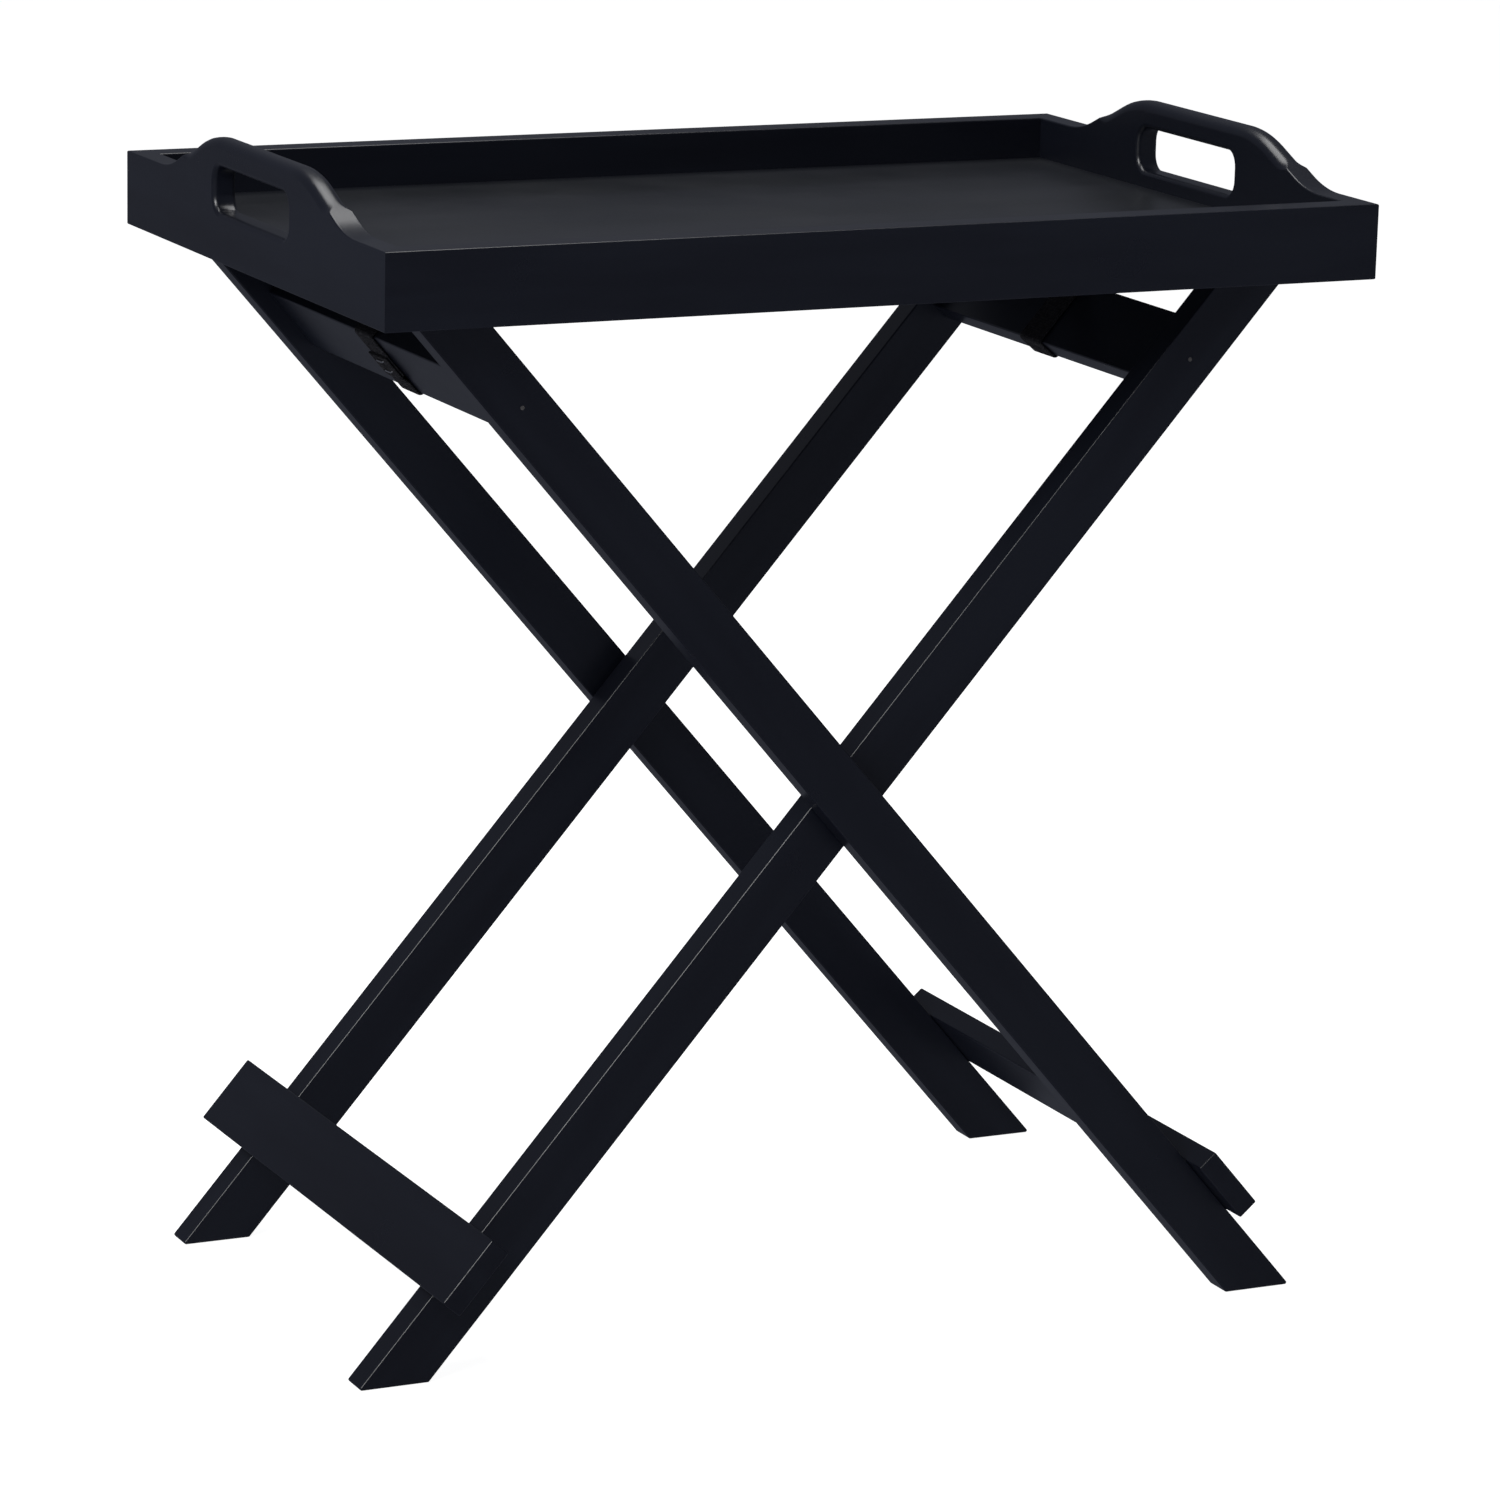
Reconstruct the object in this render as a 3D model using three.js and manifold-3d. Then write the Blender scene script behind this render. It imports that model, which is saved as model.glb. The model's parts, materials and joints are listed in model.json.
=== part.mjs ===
// Folding tray table: a lift-off tray with two slotted end boards, on a folding X stand.
// Millimetres, +Z up, +X along the tray, origin on the floor under the middle of the tray.
//
// The stand is two frames that cross on one pivot axis. The outer frame's legs run from the
// top left to the bottom right and hold the inner frame's legs, which run the other way,
// between them. Each frame has a stretcher between its leg tops and one laid across its legs
// near the feet. A webbing strap between the top stretchers stops the frames from opening.

import * as THREE from 'three';
import { mergeVertices } from 'three/addons/utils/BufferGeometryUtils.js';
import Module from 'manifold-3d';

const wasm = await Module();
wasm.setup();

// ---------------------------------------------------------------- driving dimensions

const GAP = 0.3;                      // clearance between pieces that touch

// Tray
const TRAY_LENGTH = 600;
const TRAY_WIDTH = 394;
const RAIL_BOTTOM_Z = 600;
const RAIL_TOP_Z = 642.6;
const RAIL_THICK = 18;
const END_THICK = 14;
const FLOOR_TOP_Z = 618.3;
const FLOOR_THICK = 5;
const GROOVE_DEPTH = 5;
const TONGUE_DROP = 1.5;              // the floor panel's tongue is this far below its top

// Handle hump on each end board, measured from its own middle
const HUMP_Y = -5.5;                  // the hump is cut a little nearer the front
const CREST_Z = 669;
const CREST_HALF = 55;                // half of the straight crest
const HUMP_SLOPE = THREE.MathUtils.degToRad(23.1);
const SHOULDER_R = 84;                // convex arc from the crest into the slope
const FOOT_R = 77;                    // concave arc from the slope into the rail height
const HUMP_ROUND = 6;                 // round-over along the hump
const ROUND_STOP = 106;               // where the round-over runs out, from the hump's middle

// Hand slot
const SLOT_LENGTH = 114;
const SLOT_HEIGHT = 25.5;
const SLOT_Z = 640.6;
const SLOT_CORNER_R = 9;
const SLOT_ROUND = 3;

// Stand
const PIVOT_Z = 309.5;
const LEG_ANGLE = THREE.MathUtils.degToRad(49);
const LEG_WIDTH = 32;
const LEG_THICK = 19;
const OUTER_FRAME_WIDTH = 345;
const PIVOT_GAP = 4.5;                // between an outer leg and the inner leg beside it
const LEG_TOP_Z = FLOOR_TOP_Z - FLOOR_THICK - GAP;   // the tray's floor rests on the legs
const FOOT_TIP_R = 2.5;

const STRETCHER_WIDTH = 44;
const STRETCHER_THICK = 13;
const TOP_STRETCHER_S = -320.5;       // along the leg from the pivot, minus is upwards
const LOWER_STRETCHER_S = 335;
const LOWER_STRETCHER_LENGTH = 376;

// Hardware
const PIN_R = 4;
const PIN_DEPTH = 12;                 // into each leg
const WASHER_R = 9;
const SCREW_HEAD_R = 2;
const SCREW_HEAD_LENGTH = 3;
const SCREW_R = 1.5;
const SCREW_LENGTH = 45;
const PLUG_LENGTH = 1.6;
const DOWEL_R = 3;
const DOWEL_LENGTH = 19;
const DOWEL_SPACING = 20;
const BRAD_R = 0.8;
const BRAD_LENGTH = 32;
const BRAD_SET = 2;                   // head below the rail's face
const BRAD_EDGE = 8;                  // from the rail's top and bottom edges

// Strap
const STRAP_WIDTH = 25.4;
const STRAP_THICK = 1.5;
const STRAP_Y = 4.5;
const STAPLE_CROWN = 10;
const STAPLE_WIRE = 1;
const STAPLE_LEG = 9;
const STAPLE_SPACING = 8;
const STRAP_RUN_CLEAR = 4.5;          // between the run's end and the stretcher's corner

// How finely curves are divided, and how far a cutting slab reaches past its board
const SIDES = 24;
const SMALL_SIDES = 16;
const HUMP_STEPS = 5;
const ROUND_STEPS = 4;
const CUTTER_MARGIN = 50;

const outerLegY = OUTER_FRAME_WIDTH / 2 - LEG_THICK / 2;
const innerLegY = outerLegY - LEG_THICK - PIVOT_GAP;

// ---------------------------------------------------------------- materials

const paint = new THREE.MeshStandardMaterial({ color: 0x14161a, roughness: 0.35, metalness: 0 });
const steel = new THREE.MeshStandardMaterial({ color: 0xb8babd, roughness: 0.3, metalness: 1 });
const nylon = new THREE.MeshStandardMaterial({ color: 0x1b1b1c, roughness: 0.5, metalness: 0 });
const beech = new THREE.MeshStandardMaterial({ color: 0xc9a77a, roughness: 0.7, metalness: 0 });
const webbing = new THREE.MeshStandardMaterial({ color: 0x111114, roughness: 0.9, metalness: 0 });

// ---------------------------------------------------------------- solids and booleans

function toManifold(geometry) {
  const plain = geometry.clone();
  plain.deleteAttribute('normal');
  plain.deleteAttribute('uv');
  const merged = mergeVertices(plain, 1e-4);
  return new wasm.Manifold(new wasm.Mesh({
    numProp: 3,
    vertProperties: new Float32Array(merged.attributes.position.array),
    triVerts: new Uint32Array(merged.index.array),
  }));
}

function toGeometry(solid) {
  const mesh = solid.getMesh();
  const geometry = new THREE.BufferGeometry();
  geometry.setAttribute('position', new THREE.BufferAttribute(mesh.vertProperties, 3));
  geometry.setIndex(new THREE.BufferAttribute(mesh.triVerts, 1));
  geometry.computeVertexNormals();
  return geometry;
}

function block(x0, x1, y0, y1, z0, z1) {
  const geometry = new THREE.BoxGeometry(x1 - x0, y1 - y0, z1 - z0);
  geometry.translate((x0 + x1) / 2, (y0 + y1) / 2, (z0 + z1) / 2);
  return geometry;
}

// Cylinder along Y between two heights
function rodY(x, z, y0, y1, radius) {
  const geometry = new THREE.CylinderGeometry(radius, radius, y1 - y0, SIDES);
  geometry.translate(x, (y0 + y1) / 2, z);
  return geometry;
}

// Cylinder along Z between two heights
function rodZ(x, y, z0, z1, radius) {
  const geometry = new THREE.CylinderGeometry(radius, radius, z1 - z0, SMALL_SIDES);
  geometry.rotateX(Math.PI / 2);
  geometry.translate(x, y, (z0 + z1) / 2);
  return geometry;
}

// A shape drawn in (x, z) and given a thickness along Y, centred on y
function slabY(shape, y, thick) {
  const geometry = new THREE.ExtrudeGeometry(shape, {
    depth: thick,
    curveSegments: HUMP_STEPS,
    bevelEnabled: false,
  });
  geometry.rotateX(Math.PI / 2);
  geometry.translate(0, y + thick / 2, 0);
  return geometry;
}

function polygon(points) {
  return new THREE.Shape(points.map(([x, y]) => new THREE.Vector2(x, y)));
}

function mesh(name, geometry, material) {
  const result = new THREE.Mesh(geometry, material);
  result.name = name;
  return result;
}

function numbered(name, geometries, material) {
  return geometries.map((geometry, i) => mesh(`${name}_${i + 1}`, geometry, material));
}

function joined(geometries) {
  return geometries.map(toManifold).reduce((all, next) => all.add(next));
}

function cut(geometry, cutters) {
  return toGeometry(toManifold(geometry).subtract(joined(cutters)));
}

// ---------------------------------------------------------------- the two leg frames
//
// A frame is drawn with x along its legs (minus upwards, plus towards the feet), z square to
// them (plus on the face that looks up) and the pivot at the origin. The inner frame is the
// mirror image in x, so side is +1 for the outer frame and -1 for the inner one.

const sin = Math.sin(LEG_ANGLE);
const cos = Math.cos(LEG_ANGLE);

// Where a level cut at height z_world crosses the leg's face at offset z
function alongLeg(worldZ, z) {
  return (PIVOT_Z - worldZ + z * cos) / sin;
}

function legShape(side) {
  const half = LEG_WIDTH / 2;
  const tip = alongLeg(0, half);
  const shape = new THREE.Shape();
  shape.moveTo(side * alongLeg(LEG_TOP_Z, -half), -half);
  shape.lineTo(side * alongLeg(0, -half), -half);
  shape.lineTo(side * (tip - FOOT_TIP_R * cos), half - FOOT_TIP_R * sin);
  shape.quadraticCurveTo(side * tip, half, side * (tip - FOOT_TIP_R), half);
  shape.lineTo(side * alongLeg(LEG_TOP_Z, half), half);
  shape.closePath();
  return shape;
}

// Two distances from the middle as ascending y values, on the front (-1) or the back (+1)
function spanY(legSide, from, to) {
  return [legSide * from, legSide * to].sort((a, b) => a - b);
}

// Each fastener is drawn at its own size with grow 0, and as the hole it needs with grow GAP.

// The pin that an inner leg turns on, blind in both legs
function pivotPin(legSide, grow) {
  const inner = innerLegY + LEG_THICK / 2 - PIN_DEPTH;
  const outer = outerLegY - LEG_THICK / 2 + PIN_DEPTH;
  const ends = spanY(legSide, inner - grow, outer + grow);
  return rodY(0, 0, ends[0], ends[1], PIN_R + grow);
}

// A trim screw through the leg into the end of the top stretcher
function topScrew(side, legY, legSide, grow) {
  const face = legY + LEG_THICK / 2;
  const headTop = face - PLUG_LENGTH - GAP;
  const x = side * TOP_STRETCHER_S;
  const head = spanY(legSide, headTop - SCREW_HEAD_LENGTH - grow, headTop + grow);
  const shank = spanY(legSide, headTop - SCREW_LENGTH - grow, headTop - SCREW_HEAD_LENGTH / 2);
  return toGeometry(joined([
    rodY(x, 0, head[0], head[1], SCREW_HEAD_R + grow),
    rodY(x, 0, shank[0], shank[1], SCREW_R + grow),
  ]));
}

// The filler plug that hides the screw's head, level with the leg's face
function screwPlug(side, legY, legSide, grow) {
  const face = legY + LEG_THICK / 2;
  const ends = spanY(legSide, face - PLUG_LENGTH - grow, face + grow);
  return rodY(side * TOP_STRETCHER_S, 0, ends[0], ends[1], SCREW_HEAD_R + grow);
}

// Two dowels pin the lower stretcher to the leg's upper face
function lowerDowels(side, legY, legSide, grow) {
  const face = LEG_WIDTH / 2;
  return [-0.5, 0.5].map((step) => rodZ(
    side * (LOWER_STRETCHER_S + step * DOWEL_SPACING), legSide * legY,
    face - DOWEL_LENGTH / 2 - grow, face + DOWEL_LENGTH / 2 + grow, DOWEL_R + grow,
  ));
}

function leg(name, side, legY, legSide) {
  const solid = slabY(legShape(side), legSide * legY, LEG_THICK);
  return mesh(name, cut(solid, [
    pivotPin(legSide, GAP),
    topScrew(side, legY, legSide, GAP),
    screwPlug(side, legY, legSide, GAP),
    ...lowerDowels(side, legY, legSide, GAP),
  ]), paint);
}

// The two staples that hold the strap's end on the outside of a top stretcher
function staples(side, grow) {
  const face = -STRETCHER_THICK / 2 - 2 * GAP - STRAP_THICK;
  const half = STAPLE_CROWN / 2;
  const wire = STAPLE_WIRE / 2 + grow;
  const legBottom = face + STAPLE_LEG + grow;
  return [-0.5, 0.5].map((step) => {
    const x = side * (TOP_STRETCHER_S + STAPLE_SPACING * step);
    const legs = [-1, 1].map((end) => {
      const y = STRAP_Y + end * (half - STAPLE_WIRE / 2);
      return block(x - wire, x + wire, y - wire, y + wire, face - STAPLE_WIRE / 2, legBottom);
    });
    return toGeometry(joined([
      block(x - wire, x + wire, STRAP_Y - half - grow, STRAP_Y + half + grow,
        face - STAPLE_WIRE - grow, face + grow),
      ...legs,
    ]));
  });
}

function topStretcher(name, side, legY) {
  const length = 2 * (legY - LEG_THICK / 2 - GAP);
  const x = side * TOP_STRETCHER_S;
  const solid = block(x - STRETCHER_WIDTH / 2, x + STRETCHER_WIDTH / 2, -length / 2, length / 2,
    -STRETCHER_THICK / 2, STRETCHER_THICK / 2);
  return mesh(name, cut(solid, [
    topScrew(side, legY, 1, GAP),
    topScrew(side, legY, -1, GAP),
    ...staples(side, GAP),
  ]), paint);
}

function lowerStretcher(name, side, legY) {
  const x = side * LOWER_STRETCHER_S;
  const face = LEG_WIDTH / 2 + GAP;
  const half = LOWER_STRETCHER_LENGTH / 2;
  const solid = block(x - STRETCHER_WIDTH / 2, x + STRETCHER_WIDTH / 2, -half, half,
    face, face + STRETCHER_THICK);
  return mesh(name, cut(solid, [
    ...lowerDowels(side, legY, 1, GAP),
    ...lowerDowels(side, legY, -1, GAP),
  ]), paint);
}

// The strap's loop goes once round the top stretcher
function strapLoop(name, side) {
  const x = side * TOP_STRETCHER_S;
  const around = (clear, width) => block(
    x - STRETCHER_WIDTH / 2 - clear, x + STRETCHER_WIDTH / 2 + clear,
    STRAP_Y - width / 2, STRAP_Y + width / 2,
    -STRETCHER_THICK / 2 - clear, STRETCHER_THICK / 2 + clear,
  );
  const band = around(GAP + STRAP_THICK, STRAP_WIDTH);
  return mesh(name, cut(band, [around(GAP, 2 * STRAP_WIDTH), ...staples(side, GAP)]), webbing);
}

function frame(prefix, side, legY) {
  const group = new THREE.Group();
  group.position.z = PIVOT_Z;
  group.rotation.y = side * LEG_ANGLE;
  group.add(
    leg(`${prefix}_leg_front`, side, legY, -1),
    leg(`${prefix}_leg_back`, side, legY, 1),
    topStretcher(`${prefix}_top_stretcher`, side, legY),
    lowerStretcher(`${prefix}_lower_stretcher`, side, legY),
    strapLoop(`${prefix}_strap_loop`, side),
    ...numbered(`${prefix}_strap_staple`, staples(side, 0), steel),
  );
  for (const [end, legSide] of [['front', -1], ['back', 1]]) {
    group.add(
      mesh(`${prefix}_top_screw_${end}`, topScrew(side, legY, legSide, 0), steel),
      mesh(`${prefix}_screw_plug_${end}`, screwPlug(side, legY, legSide, 0), paint),
      ...numbered(`${prefix}_lower_dowel_${end}`, lowerDowels(side, legY, legSide, 0), beech),
    );
  }
  return group;
}

// ---------------------------------------------------------------- pivots and strap

function pivotWasher(name, legSide) {
  const half = PIVOT_GAP / 2 - GAP;
  const hole = PIN_R + GAP;
  const section = [[hole, -half], [WASHER_R, -half], [WASHER_R, half], [hole, half], [hole, -half]];
  const profile = section.map(([x, y]) => new THREE.Vector2(x, y));
  const geometry = new THREE.LatheGeometry(profile, SIDES);
  const result = mesh(name, geometry, nylon);
  result.position.set(0, legSide * (outerLegY - LEG_THICK / 2 - PIVOT_GAP / 2), PIVOT_Z);
  return result;
}

function pivots() {
  const group = new THREE.Group();
  for (const [end, legSide] of [['front', -1], ['back', 1]]) {
    const pin = mesh(`pivot_pin_${end}`, pivotPin(legSide, 0), steel);
    pin.position.z = PIVOT_Z;
    group.add(pin, pivotWasher(`pivot_washer_${end}`, legSide));
  }
  return group;
}

// The taut run between the two loops, level with the top inner corners of the stretchers
function strapRun() {
  const s = -TOP_STRETCHER_S + STRETCHER_WIDTH / 2;
  const off = STRETCHER_THICK / 2;
  const cornerX = s * cos - off * sin;
  const cornerZ = PIVOT_Z + s * sin + off * cos;
  const reach = cornerX - STRAP_RUN_CLEAR;
  return mesh('strap_run', block(-reach, reach, STRAP_Y - STRAP_WIDTH / 2,
    STRAP_Y + STRAP_WIDTH / 2, cornerZ - STRAP_THICK, cornerZ), webbing);
}

// ---------------------------------------------------------------- the tray

// One arc of the hump's outline as points, from its start angle to its end angle
function arcPoints(centreY, centreZ, radius, from, to) {
  return Array.from({ length: HUMP_STEPS + 1 }, (_, i) => {
    const angle = from + (to - from) * i / HUMP_STEPS;
    return [centreY + radius * Math.sin(angle), centreZ + radius * Math.cos(angle)];
  });
}

// Half of the hump, from its crest out to where it meets the rail's height, as [d, z]
function humpHalf() {
  const shoulder = arcPoints(CREST_HALF, CREST_Z - SHOULDER_R, SHOULDER_R, 0, HUMP_SLOPE);
  const drop = CREST_Z - RAIL_TOP_Z;
  const arcsDrop = (SHOULDER_R + FOOT_R) * (1 - Math.cos(HUMP_SLOPE));
  const run = (drop - arcsDrop) / Math.tan(HUMP_SLOPE);
  const base = CREST_HALF + (SHOULDER_R + FOOT_R) * Math.sin(HUMP_SLOPE) + run;
  const foot = arcPoints(base, RAIL_TOP_Z + FOOT_R, FOOT_R, Math.PI + HUMP_SLOPE, Math.PI);
  return [...shoulder, ...foot];
}

// The hump's height at the distance d from its middle
function heightAt(d) {
  const half = humpHalf();
  const i = half.findIndex(([x]) => x >= d);
  const [x0, z0] = half[i - 1];
  const [x1, z1] = half[i];
  return z0 + (z1 - z0) * (d - x0) / (x1 - x0);
}

// The end board seen from the side, drawn in (y, z)
function endOutline() {
  const half = humpHalf();
  const top = [
    ...half.map(([d, z]) => [HUMP_Y + d, z]).reverse(),
    ...half.map(([d, z]) => [HUMP_Y - d, z]),
  ];
  const edge = TRAY_WIDTH / 2;
  return polygon([[-edge, RAIL_BOTTOM_Z], [edge, RAIL_BOTTOM_Z], [edge, RAIL_TOP_Z], ...top,
    [-edge, RAIL_TOP_Z]]);
}

// A larger slab whose top edge is the hump between the round-over's two ends
function roundOverOutline() {
  const half = humpHalf().filter(([d]) => d < ROUND_STOP);
  const stop = [ROUND_STOP, heightAt(ROUND_STOP)];
  const side = [...half, stop, [TRAY_WIDTH, stop[1]]];
  const bottom = RAIL_BOTTOM_Z - CUTTER_MARGIN;
  return polygon([
    [-TRAY_WIDTH, bottom], [TRAY_WIDTH, bottom],
    ...side.map(([d, z]) => [HUMP_Y + d, z]).reverse(),
    ...side.map(([d, z]) => [HUMP_Y - d, z]),
  ]);
}

// A larger slab with the hand slot through it
function slotOutline() {
  const bottom = RAIL_BOTTOM_Z - CUTTER_MARGIN;
  const top = CREST_Z + CUTTER_MARGIN;
  const shape = polygon([[-TRAY_WIDTH, bottom], [TRAY_WIDTH, bottom],
    [TRAY_WIDTH, top], [-TRAY_WIDTH, top]]);
  const x = SLOT_LENGTH / 2 - SLOT_CORNER_R;
  const y = SLOT_HEIGHT / 2 - SLOT_CORNER_R;
  const slot = new THREE.Path();
  slot.absarc(x, SLOT_Z + y, SLOT_CORNER_R, 0, Math.PI / 2, false);
  slot.absarc(-x, SLOT_Z + y, SLOT_CORNER_R, Math.PI / 2, Math.PI, false);
  slot.absarc(-x, SLOT_Z - y, SLOT_CORNER_R, Math.PI, 1.5 * Math.PI, false);
  slot.absarc(x, SLOT_Z - y, SLOT_CORNER_R, 1.5 * Math.PI, 2 * Math.PI, false);
  slot.closePath();
  shape.holes.push(slot);
  return shape;
}

// The tongue along the floor panel's edges, or with grow GAP the groove it needs
function floorTongue(grow) {
  const x = TRAY_LENGTH / 2 - END_THICK + GROOVE_DEPTH - GAP + grow;
  const y = TRAY_WIDTH / 2 - RAIL_THICK + GROOVE_DEPTH - GAP + grow;
  const bottom = FLOOR_TOP_Z - FLOOR_THICK - grow;
  return block(-x, x, -y, y, bottom, FLOOR_TOP_Z - TONGUE_DROP + grow);
}

function floorPanel() {
  const x = TRAY_LENGTH / 2 - END_THICK - GAP;
  const y = TRAY_WIDTH / 2 - RAIL_THICK - GAP;
  const field = block(-x, x, -y, y, FLOOR_TOP_Z - FLOOR_THICK, FLOOR_TOP_Z);
  return toGeometry(joined([field, floorTongue(0)]));
}

// Two brads through each long rail's end into the end board
function cornerBrads(grow) {
  const x = TRAY_LENGTH / 2 - END_THICK / 2;
  const rods = [];
  for (const sx of [-1, 1]) {
    for (const sy of [-1, 1]) {
      for (const z of [RAIL_BOTTOM_Z + BRAD_EDGE, RAIL_TOP_Z - BRAD_EDGE]) {
        const outer = TRAY_WIDTH / 2 - BRAD_SET;
        const ends = spanY(sy, outer - BRAD_LENGTH - grow, outer + grow);
        rods.push(rodY(sx * x, z, ends[0], ends[1], BRAD_R + grow));
      }
    }
  }
  return rods;
}

// Plan of the back rail or the right end, mitred at both ends, as a tall prism
function mitrePrism(alongX) {
  const outerX = TRAY_LENGTH / 2;
  const outerY = TRAY_WIDTH / 2;
  const innerX = outerX - END_THICK;
  const innerY = outerY - RAIL_THICK;
  const shape = alongX
    ? polygon([[-outerX + GAP, outerY], [-innerX + GAP, innerY], [innerX - GAP, innerY],
      [outerX - GAP, outerY]])
    : polygon([[outerX, -outerY], [outerX, outerY], [innerX, innerY], [innerX, -innerY]]);
  const depth = CREST_Z - RAIL_BOTTOM_Z + 2 * CUTTER_MARGIN;
  const geometry = new THREE.ExtrudeGeometry(shape, { depth, bevelEnabled: false });
  geometry.translate(0, 0, RAIL_BOTTOM_Z - CUTTER_MARGIN);
  return geometry;
}

function longRail(name, ySide) {
  const bar = block(-TRAY_LENGTH, TRAY_LENGTH, 0, TRAY_WIDTH, RAIL_BOTTOM_Z, RAIL_TOP_Z);
  let solid = toManifold(bar).intersect(toManifold(mitrePrism(true)));
  if (ySide < 0) {
    solid = solid.rotate([0, 0, 180]);
  }
  solid = solid.subtract(joined([floorTongue(GAP), ...cornerBrads(GAP)]));
  return mesh(name, toGeometry(solid), paint);
}

// A slab the thickness of the right end board, with its outline's edges rounded over
function endSlab(outline, round) {
  const geometry = new THREE.ExtrudeGeometry(outline, {
    depth: END_THICK - 2 * round,
    curveSegments: HUMP_STEPS,
    bevelEnabled: round > 0,
    bevelThickness: round,
    bevelSize: round,
    bevelOffset: -round,
    bevelSegments: ROUND_STEPS,
  });
  geometry.rotateX(Math.PI / 2);
  geometry.rotateZ(Math.PI / 2);
  geometry.translate(TRAY_LENGTH / 2 - END_THICK + round, 0, 0);
  return toManifold(geometry);
}

function endBoard(name, xSide) {
  let solid = endSlab(endOutline(), 0)
    .intersect(endSlab(roundOverOutline(), HUMP_ROUND))
    .intersect(endSlab(slotOutline(), SLOT_ROUND))
    .intersect(toManifold(mitrePrism(false)));
  if (xSide < 0) {
    solid = solid.mirror([1, 0, 0]);
  }
  solid = solid.subtract(joined([floorTongue(GAP), ...cornerBrads(GAP)]));
  return mesh(name, toGeometry(solid), paint);
}

function tray() {
  const group = new THREE.Group();
  group.add(
    longRail('tray_front_rail', -1),
    longRail('tray_back_rail', 1),
    endBoard('tray_left_end', -1),
    endBoard('tray_right_end', 1),
    mesh('tray_floor', floorPanel(), paint),
    ...numbered('tray_brad', cornerBrads(0), steel),
  );
  return group;
}

// ---------------------------------------------------------------- the whole table

const table = new THREE.Group();
table.add(
  frame('outer', 1, outerLegY),
  frame('inner', -1, innerLegY),
  pivots(),
  strapRun(),
  tray(),
);

export default table;
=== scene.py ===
import json
import math

import bmesh
import bpy
from mathutils import Matrix, Vector


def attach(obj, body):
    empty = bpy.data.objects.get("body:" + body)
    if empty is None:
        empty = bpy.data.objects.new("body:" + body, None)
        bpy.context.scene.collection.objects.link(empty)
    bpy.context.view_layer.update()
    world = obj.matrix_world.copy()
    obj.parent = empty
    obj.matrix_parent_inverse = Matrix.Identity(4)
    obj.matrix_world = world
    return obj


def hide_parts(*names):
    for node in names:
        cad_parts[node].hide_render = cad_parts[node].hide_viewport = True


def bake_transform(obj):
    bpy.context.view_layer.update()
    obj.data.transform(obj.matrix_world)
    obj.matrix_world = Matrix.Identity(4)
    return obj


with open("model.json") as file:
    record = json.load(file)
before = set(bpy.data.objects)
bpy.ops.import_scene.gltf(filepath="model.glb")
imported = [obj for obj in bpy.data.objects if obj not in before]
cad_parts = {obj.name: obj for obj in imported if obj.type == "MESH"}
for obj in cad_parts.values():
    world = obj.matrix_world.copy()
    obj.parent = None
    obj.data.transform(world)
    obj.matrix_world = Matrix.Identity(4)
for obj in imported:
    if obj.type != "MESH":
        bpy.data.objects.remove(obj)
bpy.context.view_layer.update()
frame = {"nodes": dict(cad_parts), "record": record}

# Lengths are written in millimetres, as in the CAD part, and scaled when a mesh is made.
MM = 0.001

# ------------------------------------------------------------------ the part's dimensions

TRAY_LENGTH, TRAY_WIDTH = 600.0, 394.0
RAIL_BOTTOM_Z, RAIL_TOP_Z = 600.0, 642.6
RAIL_THICK, END_THICK = 18.0, 14.0
FLOOR_TOP_Z, FLOOR_THICK = 618.3, 5.0
GROOVE_DEPTH, TONGUE_DROP, GAP = 5.0, 1.5, 0.3

HUMP_Y, CREST_Z, CREST_HALF = -5.5, 669.0, 55.0
HUMP_SLOPE = math.radians(23.1)
SHOULDER_R, FOOT_R = 84.0, 77.0
HUMP_ROUND, ROUND_STOP = 6.0, 106.0
BEARING_R, ROUND_OUT = 6.35, 5.0      # the router bit's bearing, and where it starts to run out
SLOT_LENGTH, SLOT_HEIGHT, SLOT_Z, SLOT_CORNER_R, SLOT_ROUND = 114.0, 25.5, 640.6, 9.0, 3.0

PIVOT_Z, LEG_ANGLE = 309.5, math.radians(49)
LEG_WIDTH, LEG_THICK = 32.0, 19.0
OUTER_LEG_Y = 345.0 / 2 - LEG_THICK / 2
INNER_LEG_Y = OUTER_LEG_Y - LEG_THICK - 4.5
LEG_TOP_Z = FLOOR_TOP_Z - FLOOR_THICK - GAP
FOOT_TIP_R = 1.14
STRETCHER_WIDTH, STRETCHER_THICK = 44.0, 13.0
TOP_STRETCHER_S, LOWER_STRETCHER_S, LOWER_STRETCHER_LENGTH = -320.5, 335.0, 376.0
PLUG_R = 1.2

STRAP_WIDTH, STRAP_THICK, STRAP_Y = 25.4, 1.5, 4.5
STRAP_RIB, STRAP_LAP = 1.4, 7.5
STRAP_CLEAR, LAP_GAP = 0.15, 0.1      # from webbing to wood, and between the lapped layers
LAP_EASE, RUN_GAP = 0.15, 0.2         # how the lap lifts off, and the run's end to the corner
STAPLE_CROWN, STAPLE_WIRE, STAPLE_SPACING = 10.0, 1.0, 8.0
STAPLE_BEND, STAPLE_LEG, STAPLE_SIDES = 1.2, 6.0, 10

EASE = 0.9            # small rounding on every painted edge
EASE_STEPS = 3
CORNER_R = 0.95       # the edges along a board's thickness
SHARP = math.radians(35)
# The staples' crowns lie on the lapped webbing, outside the top stretchers.
STAPLE_FACE = -(STRETCHER_THICK / 2 + STRAP_CLEAR + 2 * STRAP_THICK + LAP_GAP + STAPLE_WIRE / 2)

SIN, COS = math.sin(LEG_ANGLE), math.cos(LEG_ANGLE)

# ------------------------------------------------------------------ node helpers


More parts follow.
